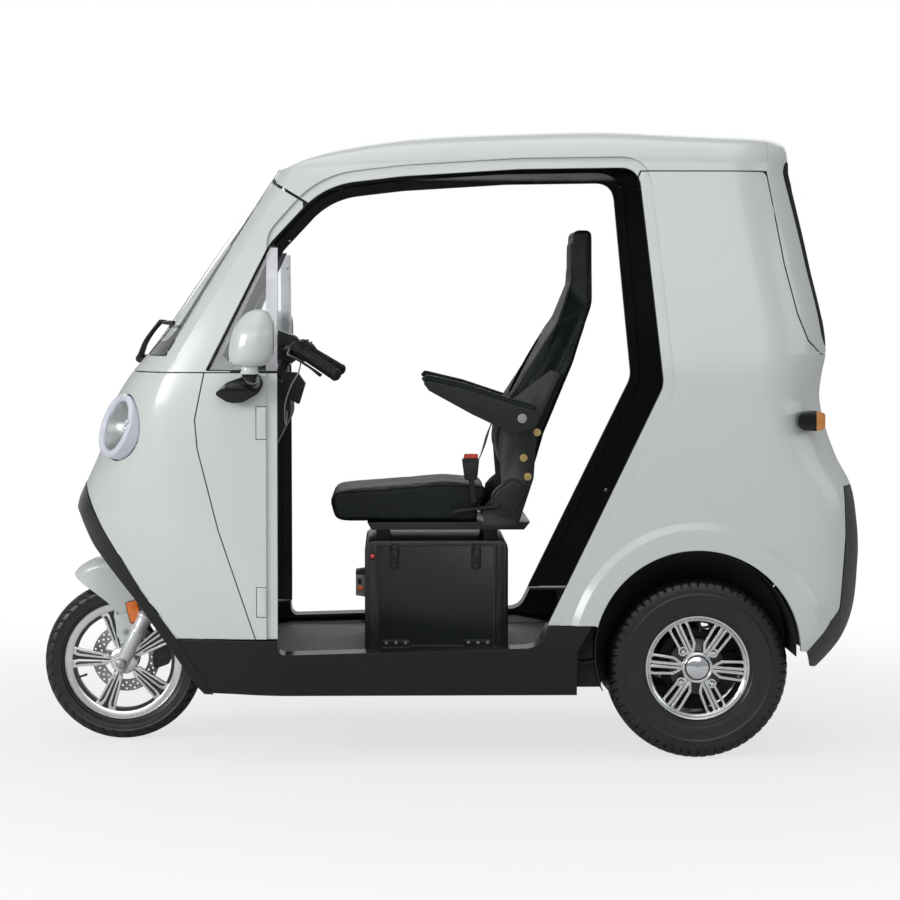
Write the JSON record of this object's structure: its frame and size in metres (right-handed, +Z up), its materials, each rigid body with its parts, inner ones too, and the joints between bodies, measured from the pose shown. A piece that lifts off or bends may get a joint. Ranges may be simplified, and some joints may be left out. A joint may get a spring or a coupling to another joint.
{
  "type": "electric tuk-tuk",
  "caption": "Closed-roof electric three-wheeler with open sides, a driver seat on a battery box, a steered front wheel and a rear passenger bench.",
  "frame": {"origin": "on the ground, in the middle of the overall length and width", "axes": "-X forward, +Z up, +Y towards the vehicle right-hand side"},
  "size_m": [2.3516, 1.5028, 1.7826],
  "materials": {
    "body_paint": "gloss grey-white paint",
    "clear_glass": "clear laminated glass",
    "clear_plastic": "clear acrylic",
    "gloss_black": "gloss black moulding",
    "black_plastic": "grained black moulding",
    "black_steel": "satin black powder coat",
    "polished_alloy": "diamond-cut faces with black pockets",
    "disc_steel": "ground steel",
    "silver_fork": "silver lower legs",
    "tyre": "moulded tread",
    "black_leather": "black synthetic leather with piping",
    "black_webbing": "woven belt webbing",
    "lamp_lens": "clear lens with a light ring",
    "amber_lens": "amber lens in a dark housing"
  },
  "bodies": {
    "vehicle": {"front_cowl": "body_paint", "left_front_panel": "body_paint", "right_front_panel": "body_paint", "windscreen_surround": "body_paint", "roof": "body_paint", "left_rear_panel": "body_paint", "right_rear_panel": "body_paint", "tail_panel": "body_paint", "rear_window_frame": "body_paint", "windscreen": "clear_glass", "rear_window": "clear_glass", "left_quarter_light": "clear_plastic", "right_quarter_light": "clear_plastic", "nose_lip": "gloss_black", "left_sill": "gloss_black", "right_sill": "gloss_black", "rear_bumper": "black_plastic", "left_cabin_liner": "black_plastic", "right_cabin_liner": "black_plastic", "headliner": "black_plastic", "dash_panel": "black_plastic", "floor_pan": "black_plastic", "rear_tub": "black_plastic", "chassis_frame": "black_steel", "rear_axle": "black_steel", "battery_box": "black_steel", "seat_frame": "black_steel", "seat_cushion": "black_leather", "seat_back": "black_leather", "seat_belt": "black_webbing", "bench_cushion": "black_leather", "bench_back": "black_leather", "left_headlamp": "lamp_lens", "right_headlamp": "lamp_lens", "left_mirror": "body_paint", "right_mirror": "body_paint", "left_rear_lamp": "amber_lens", "right_rear_lamp": "amber_lens", "wiper": "black_plastic"},
    "steering": {"front_fork": "silver_fork", "handlebar": "black_plastic", "front_fender": "body_paint"},
    "front_wheel": {"front_rim": "polished_alloy", "front_tyre": "tyre", "brake_disc": "disc_steel"},
    "left_rear_wheel": {"left_rear_rim": "polished_alloy", "left_rear_tyre": "tyre"},
    "right_rear_wheel": {"right_rear_rim": "polished_alloy", "right_rear_tyre": "tyre"},
    "battery_box_door": {"battery_door": "black_steel"},
    "left_arm": {"left_armrest": "black_leather"},
    "right_arm": {"right_armrest": "black_leather"}
  },
  "joints": [
    {"name": "steering", "type": "hinge", "parent": "vehicle", "child": "steering", "pos_m": [-0.9182, 0, 0.2186], "axis": [0.4478, 0, 0.8942], "range_deg": [-35, 35]},
    {"name": "front_wheel_spin", "type": "hinge", "parent": "steering", "child": "front_wheel", "pos_m": [-0.945, 0, 0.232], "axis": [0, 1, 0], "continuous": true},
    {"name": "left_rear_wheel_spin", "type": "hinge", "parent": "vehicle", "child": "left_rear_wheel", "pos_m": [0.704, -0.362, 0.257], "axis": [0, 1, 0], "continuous": true},
    {"name": "right_rear_wheel_spin", "type": "hinge", "parent": "vehicle", "child": "right_rear_wheel", "pos_m": [0.704, 0.362, 0.257], "axis": [0, 1, 0], "continuous": true},
    {"name": "battery_door_hinge", "type": "hinge", "parent": "vehicle", "child": "battery_box_door", "pos_m": [0, -0.233, 0.292], "axis": [1, 0, 0], "range_deg": [0, 75]},
    {"name": "left_armrest_pivot", "type": "hinge", "parent": "vehicle", "child": "left_arm", "pos_m": [0.215, -0.275, 0.955], "axis": [0, 1, 0], "range_deg": [0, 85]},
    {"name": "right_armrest_pivot", "type": "hinge", "parent": "vehicle", "child": "right_arm", "pos_m": [0.215, 0.275, 0.955], "axis": [0, 1, 0], "range_deg": [0, 85]}
  ]
}
